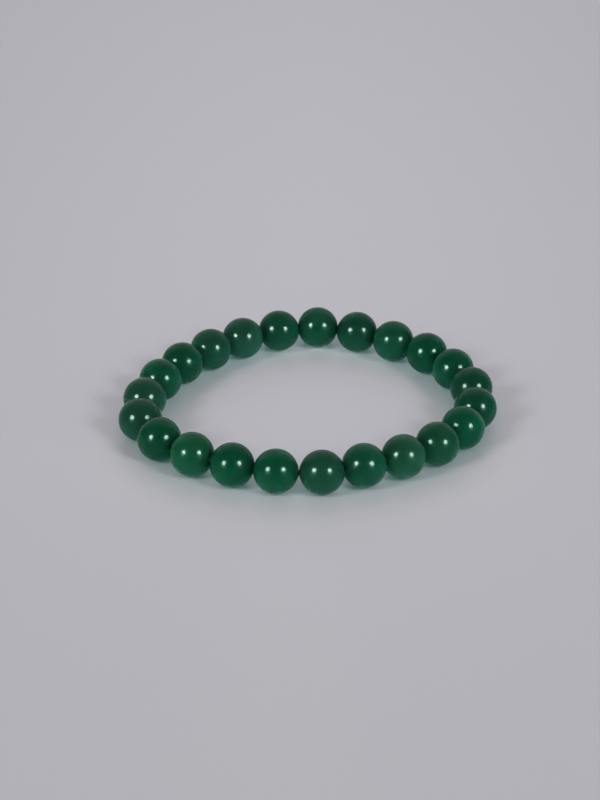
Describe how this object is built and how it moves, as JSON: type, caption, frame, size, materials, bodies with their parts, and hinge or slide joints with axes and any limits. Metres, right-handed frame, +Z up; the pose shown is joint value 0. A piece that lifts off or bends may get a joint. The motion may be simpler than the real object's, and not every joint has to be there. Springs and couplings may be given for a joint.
{
  "type": "gemstone bracelet",
  "caption": "Stretch bracelet of round polished green stone beads strung in a closed loop on an elastic cord, lying flat; worn on a wrist.",
  "frame": {"origin": "on the surface that the bracelet lies on, under the middle of the closed loop's bounding box", "axes": "+Z up out of the surface and through the wrist opening, +X to the right along the loop's longest extent as the picture shows it, +Y away from the viewer"},
  "size_m": [0.0704, 0.0652, 0.008],
  "materials": {
    "stone_deep": "polished, slightly translucent, darkest green",
    "stone_mid": "polished, slightly translucent, usual green",
    "stone_pale": "polished, slightly translucent, lightest green",
    "cord": "smooth satin elastic cord"
  },
  "bodies": {
    "root": {"bead_01": "stone_deep", "bead_02": "stone_mid", "bead_03": "stone_pale", "bead_04": "stone_mid", "bead_05": "stone_mid", "bead_06": "stone_mid", "bead_07": "stone_mid", "bead_08": "stone_pale", "bead_09": "stone_pale", "bead_10": "stone_mid", "bead_11": "stone_mid", "bead_12": "stone_deep", "bead_13": "stone_mid", "bead_14": "stone_deep", "bead_15": "stone_mid", "bead_16": "stone_deep", "bead_17": "stone_mid", "bead_18": "stone_mid", "bead_19": "stone_mid", "bead_20": "stone_deep", "bead_21": "stone_deep", "bead_22": "stone_mid", "bead_23": "stone_mid", "elastic_cord": "cord"}
  },
  "joints": []
}
